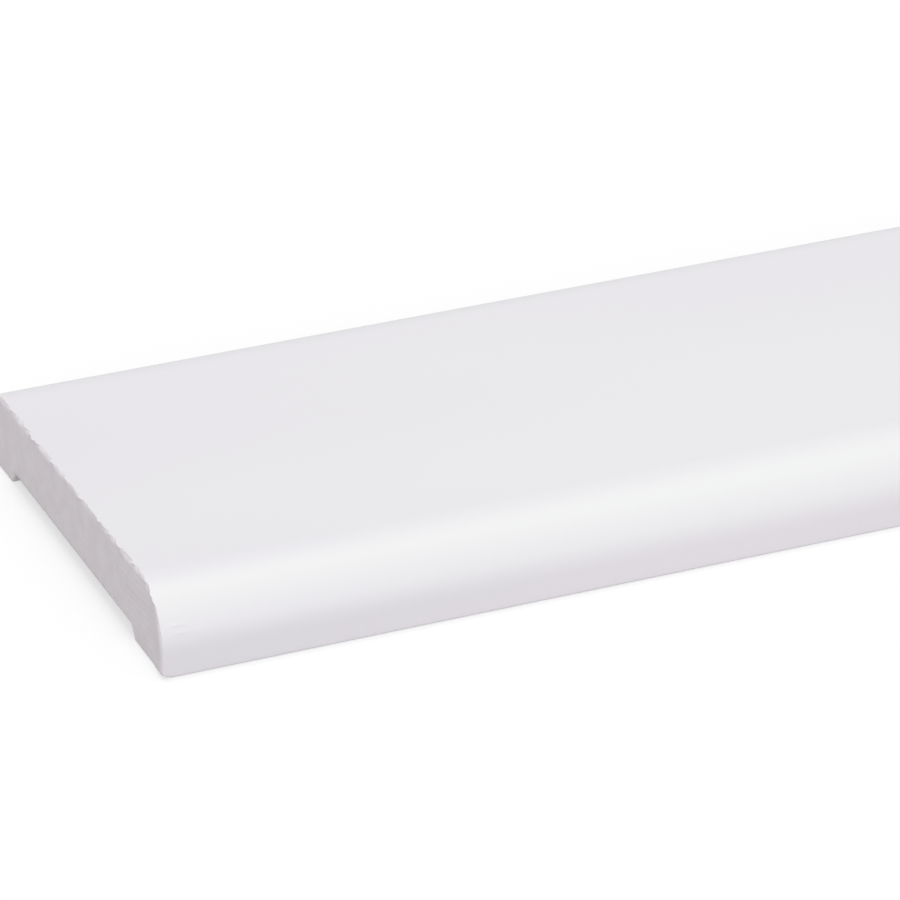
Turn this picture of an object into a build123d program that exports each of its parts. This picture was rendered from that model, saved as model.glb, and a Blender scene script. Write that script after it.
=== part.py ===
from build123d import *
import os

# Flat trim strip: one length of extruded cellular PVC trim, white right through and cut square.
# One long edge is rounded over from the face, the other is square, and the back is relieved
# between two lips so that the strip sits tight on an uneven wall.
# It lies face up on its lips: X runs along the length, -Y is the rounded edge, +Y the square
# edge. The origin is at the middle of the footprint, level with the feet of the lips.

# Stock size
strip_length = 2438.4  # 8 ft stock length
strip_width = 82.55  # 3 1/4 in
strip_thickness = 14.2875  # 9/16 in

# Rounded edge: a quarter ellipse from the face down to an upright flat
nose_reach = 11.5  # how far the round runs back over the face
front_flat = 4.3  # height of the upright flat under the round

# Square edge and arrises
rear_edge_radius = 1.6  # ease between the face and the square edge
arris_radius = 0.4  # all four arrises of the lips

# Back relief: a shallow channel between the lips
relief_depth = 2.3
front_lip = 14.0  # width of the lip under the rounded edge
rear_lip = 7.2  # width of the lip under the square edge
relief_wall_angle = 55  # slope of the channel's walls, in degrees from the floor
relief_radius = 0.8  # inside corners of the channel

# Derived places across the section
front = -strip_width / 2
rear = strip_width / 2
nose_drop = strip_thickness - front_flat
relief_width = strip_width - front_lip - rear_lip
relief_centre = (front_lip - rear_lip) / 2
cut_end = Plane.YZ.offset(-strip_length / 2)

with BuildPart() as trim_strip:
    # Full section with its rounded edge, drawn across and up, pushed along the whole length
    with BuildSketch(cut_end):
        with BuildLine():
            nose = EllipticalCenterArc(
                (front + nose_reach, front_flat),
                x_radius=nose_reach,
                y_radius=nose_drop,
                start_angle=90,
                arc_size=90,
            )
            Polyline(nose @ 1, (front, 0), (rear, 0), (rear, strip_thickness), nose @ 0)
        make_face()
    extrude(amount=strip_length)

    # Back relief, open at both cut ends, with leaning walls and softened inside corners
    with BuildSketch(cut_end) as relief:
        with Locations((relief_centre, 0)):
            Trapezoid(relief_width, relief_depth, relief_wall_angle, align=(Align.CENTER, Align.MIN))
        fillet(relief.vertices().group_by(Axis.Y)[-1], radius=relief_radius)
    extrude(amount=strip_length, mode=Mode.SUBTRACT)

    # Eased rear edge of the face
    face_edges = trim_strip.edges().filter_by(Axis.X).group_by(Axis.Z)[-1]
    fillet(face_edges.sort_by(Axis.Y)[-1], radius=rear_edge_radius)

    # Soft arrises on both sides of both lips
    lip_edges = trim_strip.edges().filter_by(Axis.X).group_by(Axis.Z)[0]
    fillet(lip_edges, radius=arris_radius)

trim_strip.part.label = "trim_strip"

os.makedirs("parts", exist_ok=True)
export_step(trim_strip.part, "parts/trim_strip.step")
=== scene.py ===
import math

import bpy
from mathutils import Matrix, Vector


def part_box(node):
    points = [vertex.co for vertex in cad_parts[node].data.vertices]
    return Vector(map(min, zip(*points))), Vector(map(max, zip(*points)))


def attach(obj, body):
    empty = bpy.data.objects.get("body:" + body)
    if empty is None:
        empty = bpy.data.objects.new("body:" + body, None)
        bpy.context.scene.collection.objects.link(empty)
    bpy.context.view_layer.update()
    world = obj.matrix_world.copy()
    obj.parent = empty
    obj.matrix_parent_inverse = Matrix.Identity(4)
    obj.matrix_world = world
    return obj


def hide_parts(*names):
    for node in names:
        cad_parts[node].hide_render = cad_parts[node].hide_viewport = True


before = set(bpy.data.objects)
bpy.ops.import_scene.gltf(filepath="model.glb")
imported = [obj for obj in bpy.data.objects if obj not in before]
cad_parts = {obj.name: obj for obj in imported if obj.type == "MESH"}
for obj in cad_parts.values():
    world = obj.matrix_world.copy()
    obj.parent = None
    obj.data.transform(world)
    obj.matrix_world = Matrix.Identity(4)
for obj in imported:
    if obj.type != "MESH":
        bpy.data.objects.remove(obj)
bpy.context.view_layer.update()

# The trim strip.
# One length of cellular PVC, foamed and extruded white right through, with a satin skin from the
# die and both ends sawn square. It is glued or nailed to a wall on the two lips of its back.
MM = 0.001
strip_low, strip_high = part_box("trim_strip")
length = strip_high.x - strip_low.x
front, rear, face = strip_low.y, strip_high.y, strip_high.z
nose_reach = 11.5 * MM
front_flat = 4.3 * MM
rear_edge_radius = 1.6 * MM
arris_radius = 0.4 * MM
relief_depth = 2.3 * MM
front_lip = 14.0 * MM
rear_lip = 7.2 * MM
relief_wall = math.radians(55)
relief_radius = 0.8 * MM


def add_outline(curve, corners):
    """Adds a stretch of the section through corners (y, z, reach before, reach after, turn)."""
    knots = []
    for i, (y, z, before, after, turn) in enumerate(corners):
        corner = Vector((0, y, z))
        if turn == 0:
            knots.append((corner, corner, corner))
            continue
        back = (Vector((0, *corners[i - 1][:2])) - corner).normalized() * before
        on = (Vector((0, *corners[i + 1][:2])) - corner).normalized() * after
        # How far off the corner the handles stay, for the bend to follow an arc
        pull = 1 - 4 / 3 * math.tan(turn / 4) / math.tan(turn / 2)
        knots.append((corner + back, corner + back, corner + back * pull))
        knots.append((corner + on * pull, corner + on, corner + on))
    spline = curve.splines.new("BEZIER")
    spline.bezier_points.add(len(knots) - 1)
    for point, (left, place, right) in zip(spline.bezier_points, knots):
        point.handle_left_type = point.handle_right_type = "FREE"
        point.handle_left, point.co, point.handle_right = left, place, right


# The section as four stretches: face with its two rounded edges, back with its lips, and the two
# upright flats between them
section = bpy.data.curves.new("section", "CURVE")
section.dimensions = "3D"
section.resolution_u = 40
square = math.radians(90)
wall_run = relief_depth / math.tan(relief_wall)
lip_reach = arris_radius * math.tan(relief_wall / 2)
relief_reach = relief_radius * math.tan(relief_wall / 2)
rear_flat = face - rear_edge_radius
add_outline(section, [
    (front, front_flat, 0, 0, 0),
    (front, face, face - front_flat, nose_reach, square),
    (rear, face, rear_edge_radius, rear_edge_radius, square),
    (rear, rear_flat, 0, 0, 0),
])
add_outline(section, [
    (front, arris_radius, 0, 0, 0),
    (front, 0, arris_radius, arris_radius, square),
    (front + front_lip, 0, lip_reach, lip_reach, relief_wall),
    (front + front_lip + wall_run, relief_depth, relief_reach, relief_reach, relief_wall),
    (rear - rear_lip - wall_run, relief_depth, relief_reach, relief_reach, relief_wall),
    (rear - rear_lip, 0, lip_reach, lip_reach, relief_wall),
    (rear, 0, arris_radius, arris_radius, square),
    (rear, arris_radius, 0, 0, 0),
])
add_outline(section, [(front, arris_radius, 0, 0, 0), (front, front_flat, 0, 0, 0)])
add_outline(section, [(rear, arris_radius, 0, 0, 0), (rear, rear_flat, 0, 0, 0)])


def linear(colour):
    """Linear RGBA of an sRGB hex colour."""
    channels = [int(colour[i:i + 2], 16) / 255 for i in (1, 3, 5)]
    return [c / 12.92 if c <= 0.04045 else ((c + 0.055) / 1.055) ** 2.4 for c in channels] + [1.0]


def add_node(tree, kind, inputs=None, **settings):
    """Adds a node with its settings; an input given a socket is linked to it.

    Inputs go by name, or by number where a node has several of one name.
    """
    node = tree.nodes.new(kind)
    for name, value in settings.items():
        setattr(node, name, value)
    for name, value in (inputs or {}).items():
        if isinstance(value, bpy.types.NodeSocket):
            tree.links.new(value, node.inputs[name])
        else:
            node.inputs[name].default_value = value
    return node


# Extruded cellular PVC: a close, even white skin with a satin sheen, faint lines drawn along it by
# the die and a very slight orange peel.
pvc_ior = 1.53
die_line_length = 300 * MM
die_line_width = 1.6 * MM
die_line_depth = 0.03 * MM
peel_size = 0.9 * MM
peel_depth = 0.012 * MM
skin = bpy.data.materials.new("extruded_cellular_pvc_skin")
skin.use_nodes = True
tree = skin.node_tree
tree.nodes.clear()
coords = add_node(tree, "ShaderNodeTexCoord").outputs["Object"]
drawn = add_node(tree, "ShaderNodeMapping", {
    "Vector": coords, "Scale": (1 / die_line_length, 1 / die_line_width, 1 / die_line_width)})
die_lines = add_node(tree, "ShaderNodeTexNoise", {
    "Vector": drawn.outputs[0], "Scale": 1.0, "Detail": 2.0}).outputs[0]
peel = add_node(tree, "ShaderNodeTexNoise", {
    "Vector": coords, "Scale": 1 / peel_size, "Detail": 1.0}).outputs[0]
lined = add_node(tree, "ShaderNodeBump", {
    "Height": die_lines, "Strength": 1.0, "Distance": die_line_depth}).outputs[0]
peeled = add_node(tree, "ShaderNodeBump", {
    "Height": peel, "Strength": 1.0, "Distance": peel_depth, "Normal": lined}).outputs[0]

# Slight clouding of the white
cloud_length = 260 * MM
cloud_width = 90 * MM
cloud_seed = 113.0
clouds = add_node(tree, "ShaderNodeMapping", {
    "Vector": coords, "Scale": (1 / cloud_length, 1 / cloud_width, 1 / cloud_width)})
cloud = add_node(tree, "ShaderNodeTexNoise", {
    "Vector": clouds.outputs[0], "W": cloud_seed, "Scale": 1.0}, noise_dimensions="4D").outputs[0]
cloud = add_node(tree, "ShaderNodeMapRange", {
    "Value": cloud, "From Min": 0.35, "From Max": 0.65}).outputs[0]
white = add_node(tree, "ShaderNodeMix", {
    0: cloud, 6: linear("#E4E1E6"), 7: linear("#E7E7E9")}, data_type="RGBA").outputs[2]

# Painted light on the skin: a violet shade tint painted down the upright flat, a painted highlight,
# whiter and warmer, along the crown of the round, and painted shade, greyer, in a band along the
# square edge
shade_tint_reach = 0.8 * MM
crown = front + 5 * MM
highlight_reach = 4 * MM
highlight_share = 0.55
rear_shade_reach = 4.5 * MM
# Painted shade tint: a violet cast down the upright flat, the colour its shade takes
shade_violet = add_node(tree, "ShaderNodeMix", {
    0: cloud, 6: linear("#E2DFE5"), 7: linear("#EBE7EC")}, data_type="RGBA").outputs[2]
spot = add_node(tree, "ShaderNodeSeparateXYZ", {0: coords}).outputs
painted_tint_mask = add_node(tree, "ShaderNodeMapRange", {
    "Value": spot["Y"], "From Min": front, "From Max": front + shade_tint_reach, "To Min": 1.0,
    "To Max": 0.0}, interpolation_type="SMOOTHSTEP").outputs[0]
white = add_node(tree, "ShaderNodeMix", {
    0: painted_tint_mask, 6: white, 7: shade_violet}, data_type="RGBA").outputs[2]
# Painted highlight: a whiter, warmer band along the crown of the round, where the lamps' highlight
# falls
off_crown = add_node(tree, "ShaderNodeMath", {0: spot["Y"], 1: crown}, operation="SUBTRACT").outputs[0]
off_crown = add_node(tree, "ShaderNodeMath", {0: off_crown}, operation="ABSOLUTE").outputs[0]
painted_highlight = add_node(tree, "ShaderNodeMapRange", {
    "Value": off_crown, "From Max": highlight_reach, "To Min": highlight_share, "To Max": 0.0},
    interpolation_type="SMOOTHSTEP").outputs[0]
white = add_node(tree, "ShaderNodeMix", {
    0: painted_highlight, 6: white, 7: linear("#EAEBE9")}, data_type="RGBA").outputs[2]
# Painted shade: a greyer band along the square edge, whose rounding tilts away from the light
rear_edge_shade = add_node(tree, "ShaderNodeMapRange", {
    "Value": spot["Y"], "From Min": rear - rear_shade_reach, "From Max": rear},
    interpolation_type="SMOOTHSTEP").outputs[0]
white = add_node(tree, "ShaderNodeMix", {
    0: rear_edge_shade, 6: white, 7: linear("#DBDADD")}, data_type="RGBA").outputs[2]
shader = add_node(tree, "ShaderNodeBsdfPrincipled", {
    "Base Color": white, "Roughness": 0.4, "IOR": pvc_ior, "Normal": peeled})
add_node(tree, "ShaderNodeOutputMaterial", {"Surface": shader.outputs[0]})

# Sawn cellular PVC: the same white without the sheen, opened into fine cells, with the arcs of the
# blade across it. The cells are drawn twice as large as the real ones, which are too fine to show.
wave_rate = math.tau / 20  # the scale at which a Wave Texture repeats once per unit
blade_radius = 127 * MM
kerf_pitch = 1.3 * MM
kerf_depth = 0.02 * MM
cell_size = 0.4 * MM
cell_depth = 0.08 * MM
mottle_size = 3.5 * MM
sawn = bpy.data.materials.new("sawn_cellular_pvc")
sawn.use_nodes = True
tree = sawn.node_tree
tree.nodes.clear()
coords = add_node(tree, "ShaderNodeTexCoord").outputs["Object"]
arbor = add_node(tree, "ShaderNodeVectorMath", {
    0: coords, 1: (0, -front / 2, -blade_radius)}, operation="ADD").outputs[0]
kerf = add_node(tree, "ShaderNodeTexWave", {
    "Vector": arbor, "Scale": wave_rate / kerf_pitch, "Distortion": 2.0, "Detail": 2.0,
    "Detail Scale": 0.3}, wave_type="RINGS", rings_direction="X").outputs["Fac"]
cells = add_node(tree, "ShaderNodeTexNoise", {
    "Vector": coords, "Scale": 1 / cell_size, "Detail": 2.0, "Roughness": 0.6}).outputs[0]
mottle = add_node(tree, "ShaderNodeTexNoise", {
    "Vector": coords, "Scale": 1 / mottle_size, "Detail": 1.0}).outputs[0]
grooved = add_node(tree, "ShaderNodeBump", {
    "Height": kerf, "Strength": 1.0, "Distance": kerf_depth}).outputs[0]
pitted = add_node(tree, "ShaderNodeBump", {
    "Height": cells, "Strength": 1.0, "Distance": cell_depth, "Normal": grooved}).outputs[0]
white = add_node(tree, "ShaderNodeMix", {
    0: mottle, 6: linear("#E2D9E0"), 7: linear("#EBE7E9")}, data_type="RGBA").outputs[2]
shader = add_node(tree, "ShaderNodeBsdfPrincipled", {
    "Base Color": white, "Roughness": 0.8, "IOR": pvc_ior, "Normal": pitted})
add_node(tree, "ShaderNodeOutputMaterial", {"Surface": shader.outputs[0]})

# The strip is a box of faces laid onto the section: across it follows the face and the back, up it
# runs from back to face, and along it crowds towards the two cuts, which the saw left uneven. The
# bare box is one unit each way about the origin.
sweep = bpy.data.node_groups.new("sweep_and_saw", "GeometryNodeTree")
sweep.interface.new_socket("Section", in_out="INPUT", socket_type="NodeSocketGeometry")
sizes = {}
for name, kind, value in (
    ("Length", "NodeSocketFloat", length),
    ("Points along", "NodeSocketInt", 60),
    ("Points across", "NodeSocketInt", 400),
    ("Points up", "NodeSocketInt", 36),
    ("Cut inset", "NodeSocketFloat", 0.5 * MM),
    ("Cut lean", "NodeSocketFloat", 0.15 * MM),
    ("Rim width", "NodeSocketFloat", 1.0 * MM),
    ("Rim round", "NodeSocketFloat", 0.3 * MM),
    ("Rim breaks", "NodeSocketFloat", 1.4 * MM),
    ("Rim pitch", "NodeSocketFloat", 2.8 * MM),
    ("Burr", "NodeSocketFloat", 0.5 * MM),
    ("Chip", "NodeSocketFloat", 0.75 * MM),
    ("Score", "NodeSocketFloat", 0.08 * MM),
    ("Seed", "NodeSocketFloat", 4.0),
):
    sizes[sweep.interface.new_socket(name, in_out="INPUT", socket_type=kind).identifier] = value
sweep.interface.new_socket("Strip", in_out="OUTPUT", socket_type="NodeSocketGeometry")
given = add_node(sweep, "NodeGroupInput").outputs
box = add_node(sweep, "GeometryNodeMeshCube", {
    "Vertices X": given["Points along"], "Vertices Y": given["Points across"],
    "Vertices Z": given["Points up"]})
place = add_node(sweep, "ShaderNodeSeparateXYZ", {
    0: add_node(sweep, "GeometryNodeInputPosition").outputs[0]}).outputs

# Place on the section: the shares of the way across and up run slower near both of their ends
edge_crowding = 0.7
shares = []
for run in (place["Y"], place["Z"]):
    share = add_node(sweep, "ShaderNodeMath", {0: run, 1: 0.5}, operation="ADD").outputs[0]
    turn = add_node(sweep, "ShaderNodeMath", {
        0: share, 1: math.tau}, operation="MULTIPLY").outputs[0]
    swing = add_node(sweep, "ShaderNodeMath", {0: turn}, operation="SINE").outputs[0]
    shares.append(add_node(sweep, "ShaderNodeMath", {
        0: swing, 1: -edge_crowding / math.tau, 2: share}, operation="MULTIPLY_ADD").outputs[0])
across, up = shares
on_face, on_back = [
    add_node(sweep, "GeometryNodeSampleCurve", {
        "Curves": given["Section"], "Factor": across, "Curve Index": stretch},
        mode="FACTOR").outputs["Position"]
    for stretch in (0, 1)]
on_section = add_node(sweep, "ShaderNodeMix", {
    0: up, 4: on_back, 5: on_face}, data_type="VECTOR").outputs[1]

# Distance to the nearer cut: in even steps at first, then in wider and wider ones
even_reach = 8 * MM
widening = 8.0
half = add_node(sweep, "ShaderNodeMath", {
    0: given["Length"], 1: 0.5}, operation="MULTIPLY").outputs[0]
side = add_node(sweep, "ShaderNodeMath", {0: place["X"]}, operation="SIGN").outputs[0]
off_middle = add_node(sweep, "ShaderNodeMath", {0: place["X"]}, operation="ABSOLUTE").outputs[0]
from_cut = add_node(sweep, "ShaderNodeMath", {
    0: off_middle, 1: -2.0, 2: 1.0}, operation="MULTIPLY_ADD").outputs[0]
even = add_node(sweep, "ShaderNodeMath", {
    0: from_cut, 1: even_reach}, operation="MULTIPLY").outputs[0]
widened = add_node(sweep, "ShaderNodeMath", {0: from_cut, 1: widening}, operation="POWER").outputs[0]
rest = add_node(sweep, "ShaderNodeMath", {0: half, 1: even_reach}, operation="SUBTRACT").outputs[0]
to_cut = add_node(sweep, "ShaderNodeMath", {
    0: widened, 1: rest, 2: even}, operation="MULTIPLY_ADD").outputs[0]

# Cut: set in from the full length, a little more at the face than at the back
cut = add_node(sweep, "ShaderNodeMath", {
    0: up, 1: given["Cut lean"], 2: given["Cut inset"]}, operation="MULTIPLY_ADD").outputs[0]

# Rim: the saw rounds the cut over close to the outline and breaks the skin away unevenly along the
# face, less and less down the round
rim_power = 2.0
wire = add_node(sweep, "GeometryNodeCurveToMesh", {"Curve": given["Section"]}).outputs[0]
skin_depth = add_node(sweep, "GeometryNodeProximity", {
    0: wire, "Source Position": on_section}, target_element="EDGES").outputs["Distance"]
rim = add_node(sweep, "ShaderNodeMapRange", {
    "Value": skin_depth, "From Max": given["Rim width"], "To Min": 1.0, "To Max": 0.0}).outputs[0]
rim = add_node(sweep, "ShaderNodeMath", {0: rim, 1: rim_power}, operation="POWER").outputs[0]
rim_scale = add_node(sweep, "ShaderNodeMath", {
    0: 1.0, 1: given["Rim pitch"]}, operation="DIVIDE").outputs[0]
seed = add_node(sweep, "ShaderNodeMath", {0: side, 1: given["Seed"]}, operation="MULTIPLY").outputs[0]
break_away = add_node(sweep, "ShaderNodeTexNoise", {
    "Vector": on_section, "W": seed, "Scale": rim_scale, "Detail": 3.0, "Roughness": 0.5},
    noise_dimensions="4D").outputs[0]
break_away = add_node(sweep, "ShaderNodeMapRange", {
    "Value": break_away, "From Min": 0.3, "From Max": 0.7, "To Min": -0.5,
    "To Max": 0.5}).outputs[0]
off_front = add_node(sweep, "ShaderNodeSeparateXYZ", {0: on_section}).outputs["Y"]
on_flat = add_node(sweep, "ShaderNodeMapRange", {
    "Value": off_front, "From Min": front, "From Max": front + nose_reach / 2,
    "To Max": up}).outputs[0]
break_away = add_node(sweep, "ShaderNodeMath", {
    0: break_away, 1: on_flat}, operation="MULTIPLY").outputs[0]
ragged = add_node(sweep, "ShaderNodeMath", {
    0: break_away, 1: given["Rim breaks"], 2: given["Rim round"]},
    operation="MULTIPLY_ADD").outputs[0]
ragged = add_node(sweep, "ShaderNodeMath", {
    0: ragged, 1: rim, 2: cut}, operation="MULTIPLY_ADD").outputs[0]

# Burr along the front of the rounded edge, where the blade came out
burr_reach = 6 * MM
burr = add_node(sweep, "ShaderNodeMapRange", {
    "Value": off_front, "From Min": front, "From Max": front + burr_reach, "To Min": given["Burr"],
    "To Max": 0.0}, interpolation_type="SMOOTHSTEP").outputs[0]
inset = add_node(sweep, "ShaderNodeMath", {0: ragged, 1: burr}, operation="SUBTRACT").outputs[0]
inset = add_node(sweep, "ShaderNodeMath", {0: inset, 1: 0.0}, operation="MAXIMUM").outputs[0]

# Place along the strip: the points behind the cut move in with it, less and less, so that no face
# folds over
saw_reach = 3.0 * MM
fade = add_node(sweep, "ShaderNodeMapRange", {
    "Value": to_cut, "From Max": saw_reach, "To Min": 1.0, "To Max": 0.0},
    interpolation_type="SMOOTHSTEP").outputs[0]
inset = add_node(sweep, "ShaderNodeMath", {0: inset, 1: fade}, operation="MULTIPLY").outputs[0]
along = add_node(sweep, "ShaderNodeMath", {0: half, 1: to_cut}, operation="SUBTRACT").outputs[0]
along = add_node(sweep, "ShaderNodeMath", {0: along, 1: inset}, operation="SUBTRACT").outputs[0]
along = add_node(sweep, "ShaderNodeMath", {0: along, 1: side}, operation="MULTIPLY").outputs[0]

# Chip out of the lower front corner of the near cut
chip_across = 4.2 * MM
chip_along = 2.4 * MM
chip_power = 2.0
to_corner = add_node(sweep, "ShaderNodeVectorMath", {
    0: on_section, 1: (0, front, 0)}, operation="DISTANCE").outputs["Value"]
chip = add_node(sweep, "ShaderNodeMapRange", {
    "Value": to_corner, "From Max": chip_across, "To Min": given["Chip"], "To Max": 0.0}).outputs[0]
chip_fade = add_node(sweep, "ShaderNodeMapRange", {
    "Value": to_cut, "From Max": chip_along, "To Min": 1.0, "To Max": 0.0}).outputs[0]
chip_fade = add_node(sweep, "ShaderNodeMath", {
    0: chip_fade, 1: chip_power}, operation="POWER").outputs[0]
chip = add_node(sweep, "ShaderNodeMath", {0: chip, 1: chip_fade}, operation="MULTIPLY").outputs[0]
near = add_node(sweep, "ShaderNodeMath", {0: side, 1: 0.0}, operation="LESS_THAN").outputs[0]
chip = add_node(sweep, "ShaderNodeMath", {0: chip, 1: near}, operation="MULTIPLY").outputs[0]
shift = add_node(sweep, "ShaderNodeCombineXYZ", {"X": along, "Z": chip}).outputs[0]
swept_place = add_node(sweep, "ShaderNodeVectorMath", {
    0: on_section, 1: shift}, operation="ADD").outputs[0]

# Three short scores on the round by the near cut, where the offcut dragged along it, each a little
# further along than the one above
score_middle = Vector((strip_low.x + 3.4 * MM, front + 1.2 * MM, 8.8 * MM))
score_pitch = 1.25 * MM
score_core = 1.1 * MM
score_reach = 2.0 * MM
score_stagger = 0.56
score_power = 3.0
off_scores = add_node(sweep, "ShaderNodeVectorMath", {
    0: swept_place, 1: score_middle}, operation="SUBTRACT").outputs[0]
stagger = add_node(sweep, "ShaderNodeMath", {
    0: add_node(sweep, "ShaderNodeSeparateXYZ", {0: off_scores}).outputs["Z"],
    1: score_stagger}, operation="MULTIPLY").outputs[0]
stagger = add_node(sweep, "ShaderNodeCombineXYZ", {"X": stagger}).outputs[0]
off_scores = add_node(sweep, "ShaderNodeVectorMath", {
    0: off_scores, 1: stagger}, operation="ADD").outputs[0]
to_scores = add_node(sweep, "ShaderNodeVectorMath", {
    0: off_scores}, operation="LENGTH").outputs["Value"]
by_cut = add_node(sweep, "ShaderNodeMapRange", {
    "Value": to_scores, "From Min": score_core, "From Max": score_reach, "To Min": given["Score"],
    "To Max": 0.0}).outputs[0]
scores = add_node(sweep, "ShaderNodeTexWave", {
    "Vector": swept_place, "Scale": wave_rate / score_pitch, "Distortion": 1.0,
    "Detail Scale": 0.5, "Phase Offset": math.pi - math.tau * score_middle.z / score_pitch},
    bands_direction="Z").outputs["Fac"]
scores = add_node(sweep, "ShaderNodeMath", {0: scores, 1: score_power}, operation="POWER").outputs[0]
scores = add_node(sweep, "ShaderNodeMath", {0: scores, 1: by_cut}, operation="MULTIPLY").outputs[0]
outward = add_node(sweep, "ShaderNodeVectorMath", {
    0: on_section, 1: (0, front + nose_reach, front_flat)}, operation="SUBTRACT").outputs[0]
outward = add_node(sweep, "ShaderNodeVectorMath", {0: outward}, operation="NORMALIZE").outputs[0]
raised = add_node(sweep, "ShaderNodeVectorMath", {
    0: outward, "Scale": scores}, operation="SCALE").outputs[0]
swept_place = add_node(sweep, "ShaderNodeVectorMath", {
    0: swept_place, 1: raised}, operation="ADD").outputs[0]
swept = add_node(sweep, "GeometryNodeSetPosition", {
    "Geometry": box.outputs["Mesh"], "Position": swept_place})

# Smooth skin with hard edges round the cuts, and the sawn material on what faces along the strip
hard_edge = math.radians(50)
sawn_lean = math.radians(30)
angle = add_node(sweep, "GeometryNodeInputMeshEdgeAngle").outputs["Unsigned Angle"]
is_hard = add_node(sweep, "FunctionNodeCompare", {
    0: angle, 1: hard_edge}, operation="GREATER_THAN").outputs[0]
smooth = add_node(sweep, "GeometryNodeSetShadeSmooth", {
    0: swept.outputs[0], "Shade Smooth": True}, domain="FACE")
creased = add_node(sweep, "GeometryNodeSetShadeSmooth", {
    0: smooth.outputs[0], "Selection": is_hard, "Shade Smooth": False}, domain="EDGE")
real = add_node(sweep, "GeometryNodeRealizeInstances", {0: creased.outputs[0]})
facing = add_node(sweep, "ShaderNodeSeparateXYZ", {
    0: add_node(sweep, "GeometryNodeInputNormal").outputs[0]}).outputs["X"]
facing = add_node(sweep, "ShaderNodeMath", {0: facing}, operation="ABSOLUTE").outputs[0]
is_cut = add_node(sweep, "FunctionNodeCompare", {
    0: facing, 1: math.cos(sawn_lean)}, operation="GREATER_THAN").outputs[0]
skinned = add_node(sweep, "GeometryNodeSetMaterial", {0: real.outputs[0], "Material": skin})
ended = add_node(sweep, "GeometryNodeSetMaterial", {
    0: skinned.outputs[0], "Selection": is_cut, "Material": sawn})
add_node(sweep, "NodeGroupOutput", {0: ended.outputs[0]})

# The strip itself, taken off the section's modifier as a mesh
pattern = bpy.data.objects.new("section", section)
bpy.context.scene.collection.objects.link(pattern)
modifier = pattern.modifiers.new("sweep", "NODES")
modifier.node_group = sweep
for identifier, value in sizes.items():
    modifier[identifier] = value
evaluated = pattern.evaluated_get(bpy.context.evaluated_depsgraph_get())
strip_mesh = bpy.data.meshes.new_from_object(evaluated)
strip_mesh.materials.pop(index=0)  # the bare box's empty slot, which no face uses
pattern.modifiers.remove(modifier)
bpy.data.objects.remove(pattern)
strip = bpy.data.objects.new("trim_strip_dressed", strip_mesh)
bpy.context.scene.collection.objects.link(strip)
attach(strip, "root")
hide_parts("trim_strip")

# The light.
# An even white surround with two soft lamps: a broad one low in front of the rounded edge and a
# smaller one overhead. Reflections see the surround as plain white.


def add_seen(tree):
    """Adds the nodes that give 1 to what is seen, also in a reflection, and 0 to what only lights."""
    rays = add_node(tree, "ShaderNodeLightPath").outputs
    seen = rays["Is Camera Ray"]
    for ray in ("Is Glossy Ray", "Is Transmission Ray"):
        seen = add_node(tree, "ShaderNodeMath", {
            0: seen, 1: rays[ray]}, operation="MAXIMUM").outputs[0]
    return seen


surround = 0.68
world = bpy.data.worlds.new("studio")
bpy.context.scene.world = world
world.use_nodes = True
tree = world.node_tree
tree.nodes.clear()
level = add_node(tree, "ShaderNodeMapRange", {
    "Value": add_seen(tree), "To Min": surround, "To Max": 1.0}).outputs[0]
sky = add_node(tree, "ShaderNodeBackground", {"Color": [1.0] * 4, "Strength": level})
add_node(tree, "ShaderNodeOutputWorld", {"Surface": sky.outputs[0]})
for name, azimuth, elevation, share, spread in (
    ("front_lamp", -16, 20, 0.387, 60), ("top_lamp", 0, 100, 0.196, 20)):
    lamp = bpy.data.lights.new(name, "SUN")
    lamp.energy = share * math.pi
    lamp.angle = math.radians(spread)
    holder = bpy.data.objects.new(name, lamp)
    holder.rotation_euler = (math.radians(90 - elevation), 0, math.radians(azimuth))
    bpy.context.scene.collection.objects.link(holder)

# The floor.
# A plain pale studio floor, large enough for every view. Light makes up part of its white and takes
# the strip's shadow; the rest is its own, for the camera and for reflections.
floor_half = 60.0
floor_shade = 0.45
floor_white = 1.01
floor_mesh = bpy.data.meshes.new("floor")
floor_mesh.from_pydata([
    (-floor_half, -floor_half, 0), (floor_half, -floor_half, 0),
    (floor_half, floor_half, 0), (-floor_half, floor_half, 0)], [], [(0, 1, 2, 3)])
floor = bpy.data.objects.new("floor", floor_mesh)
bpy.context.scene.collection.objects.link(floor)
paper = bpy.data.materials.new("white_studio_floor")
paper.use_nodes = True
tree = paper.node_tree
tree.nodes.clear()
matt = add_node(tree, "ShaderNodeBsdfDiffuse", {"Color": [floor_shade] * 3 + [1.0]})
own = add_node(tree, "ShaderNodeMath", {
    0: add_seen(tree), 1: floor_white - floor_shade}, operation="MULTIPLY").outputs[0]
glow = add_node(tree, "ShaderNodeEmission", {"Strength": own})
both = add_node(tree, "ShaderNodeAddShader", {0: matt.outputs[0], 1: glow.outputs[0]})
add_node(tree, "ShaderNodeOutputMaterial", {"Surface": both.outputs[0]})
floor_mesh.materials.append(paper)

# The camera.
# A long lens close in on the near end, looking down across the rounded edge.
view_turn = math.radians(-23.26)
view_drop = math.radians(27.073)
view_distance = 0.8587
aim = Vector((strip_low.x + 0.04951, strip_low.y - 0.00267, 0.03301))
camera = bpy.data.cameras.new("camera")
camera.sensor_width = 36.0
camera.lens = 212.97
eye = bpy.data.objects.new("camera", camera)
eye.rotation_euler = (math.radians(90) - view_drop, 0, view_turn)
away = Vector((
    math.sin(view_turn) * math.cos(view_drop),
    -math.cos(view_turn) * math.cos(view_drop),
    math.sin(view_drop)))
eye.location = aim + away * view_distance
bpy.context.scene.collection.objects.link(eye)
bpy.context.scene.camera = eye
bpy.context.scene.view_settings.view_transform = "Standard"
